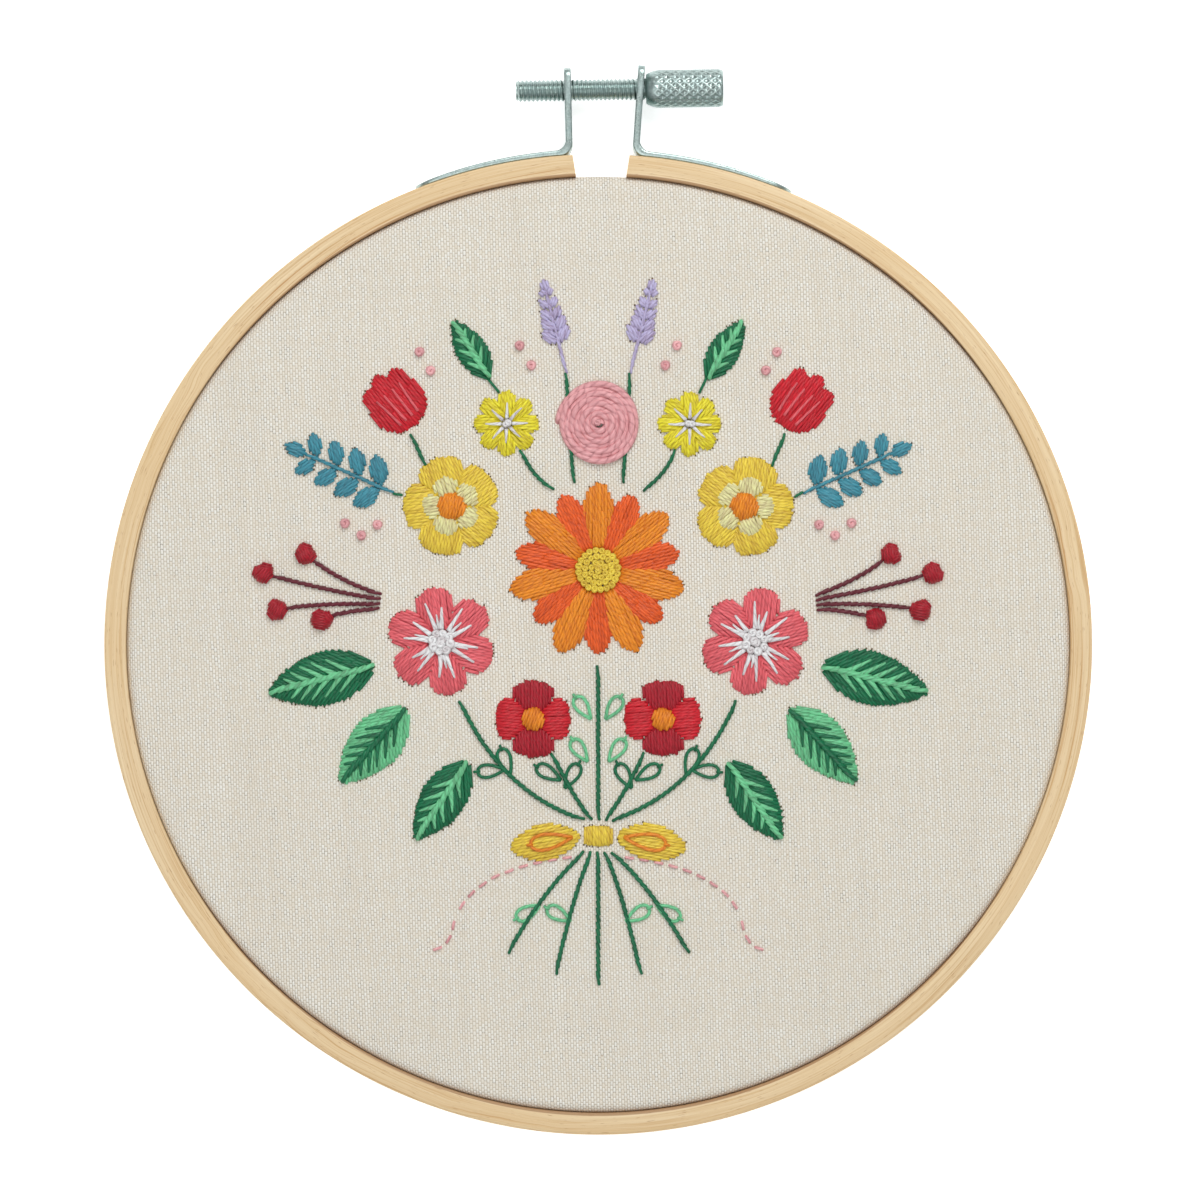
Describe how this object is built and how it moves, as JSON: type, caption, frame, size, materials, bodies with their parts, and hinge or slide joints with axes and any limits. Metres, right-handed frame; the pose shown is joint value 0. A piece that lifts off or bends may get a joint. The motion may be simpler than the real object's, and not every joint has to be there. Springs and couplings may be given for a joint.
{
  "type": "embroidered cloth in an embroidery hoop",
  "caption": "Cotton cloth with a stitched floral design, held stretched in a round split bamboo hoop that a thumb screw closes at the top.",
  "frame": {"origin": "middle of the outline seen face on, on the plane of the hoop's back edges, which is the surface it rests on", "axes": "+Z out of the embroidered face, +Y towards the thumb screw, +X to the right as the face is looked at"},
  "size_m": [0.1857, 0.2013, 0.0113],
  "materials": {
    "bamboo": "bare bamboo, sanded, fine grain along the ring",
    "canvas": "natural cotton canvas, plain weave",
    "steel": "bright zinc plate, satin",
    "thread_orange": "stranded cotton embroidery thread, silky",
    "thread_yellow": "stranded cotton embroidery thread, silky",
    "thread_lemon": "stranded cotton embroidery thread, silky",
    "thread_coral": "stranded cotton embroidery thread, silky",
    "thread_pink": "stranded cotton embroidery thread, silky",
    "thread_white": "stranded cotton embroidery thread, silky",
    "thread_red": "stranded cotton embroidery thread, silky",
    "thread_crimson": "stranded cotton embroidery thread, silky",
    "thread_burgundy": "stranded cotton embroidery thread, silky",
    "thread_teal": "stranded cotton embroidery thread, silky",
    "thread_lilac": "stranded cotton embroidery thread, silky",
    "thread_dark_green": "stranded cotton embroidery thread, silky",
    "thread_light_green": "stranded cotton embroidery thread, silky"
  },
  "bodies": {
    "hoop": {"outer_ring": "bamboo", "inner_ring": "bamboo", "cloth": "canvas", "bracket_left": "steel", "bracket_right": "steel", "daisy_petals": "thread_orange", "primrose_left_centre": "thread_orange", "primrose_right_centre": "thread_orange", "pansy_left_centre": "thread_orange", "pansy_right_centre": "thread_orange", "daisy_centre": "thread_yellow", "primrose_left_petals": "thread_yellow", "primrose_right_petals": "thread_yellow", "bow_left": "thread_yellow", "bow_right": "thread_yellow", "bow_knot": "thread_yellow", "aster_left": "thread_lemon", "aster_right": "thread_lemon", "cosmos_left_petals": "thread_coral", "cosmos_right_petals": "thread_coral", "rose": "thread_pink", "cosmos_left_centre": "thread_white", "cosmos_right_centre": "thread_white", "tulip_left": "thread_red", "tulip_right": "thread_red", "pansy_left_petals": "thread_crimson", "pansy_right_petals": "thread_crimson", "berry_left_1": "thread_crimson", "berry_left_2": "thread_crimson", "berry_left_3": "thread_crimson", "berry_left_4": "thread_crimson", "berry_right_1": "thread_crimson", "berry_right_2": "thread_crimson", "berry_right_3": "thread_crimson", "berry_right_4": "thread_crimson", "berry_twig_left": "thread_burgundy", "berry_twig_right": "thread_burgundy", "eucalyptus_left": "thread_teal", "eucalyptus_right": "thread_teal", "lavender_left": "thread_lilac", "lavender_right": "thread_lilac", "leaf_top_left": "thread_dark_green", "leaf_top_right": "thread_dark_green", "leaf_side_left": "thread_dark_green", "leaf_side_right": "thread_dark_green", "leaf_low_left": "thread_dark_green", "leaf_low_right": "thread_dark_green", "stems_upper": "thread_dark_green", "stems_lower": "thread_dark_green", "leaf_middle_left": "thread_light_green", "leaf_middle_right": "thread_light_green"},
    "thumb_screw": {"thumb_screw": "steel"}
  },
  "joints": [
    {"name": "screw_turn", "type": "hinge", "parent": "hoop", "child": "thumb_screw", "pos_m": [-0.01551, 0.096, 0.0045], "axis": [0.9999, 0.0157, 0], "continuous": true}
  ]
}
